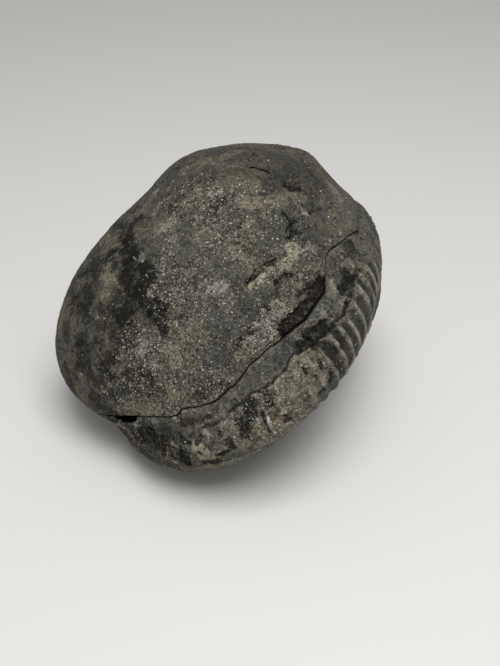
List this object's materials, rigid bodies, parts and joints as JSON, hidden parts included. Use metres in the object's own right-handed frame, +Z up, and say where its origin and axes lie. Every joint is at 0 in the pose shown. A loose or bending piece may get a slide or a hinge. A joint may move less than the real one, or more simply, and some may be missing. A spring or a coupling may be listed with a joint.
{
  "type": "fossil ammonite in a split stone nodule",
  "caption": "Dark rounded stone nodule, split and closed again, with the ribbed outer whorl of a fossil ammonite bare round its rim; it lies on a flat spot.",
  "frame": {"origin": "on the flat spot that the nodule rests on, under its centre of mass", "axes": "+Z up, +X to the right and +Y away from the viewer who sees the split and the ribbed rim on the right"},
  "size_m": [0.0716, 0.0703, 0.0595],
  "materials": {
    "ammonite_stone": "matt dark grey stone with tan patches on the ribs",
    "cover_stone": "matt olive grey weathered stone with pale grains"
  },
  "bodies": {
    "root": {"ammonite_half": "ammonite_stone", "cover_half": "cover_stone"}
  },
  "joints": []
}
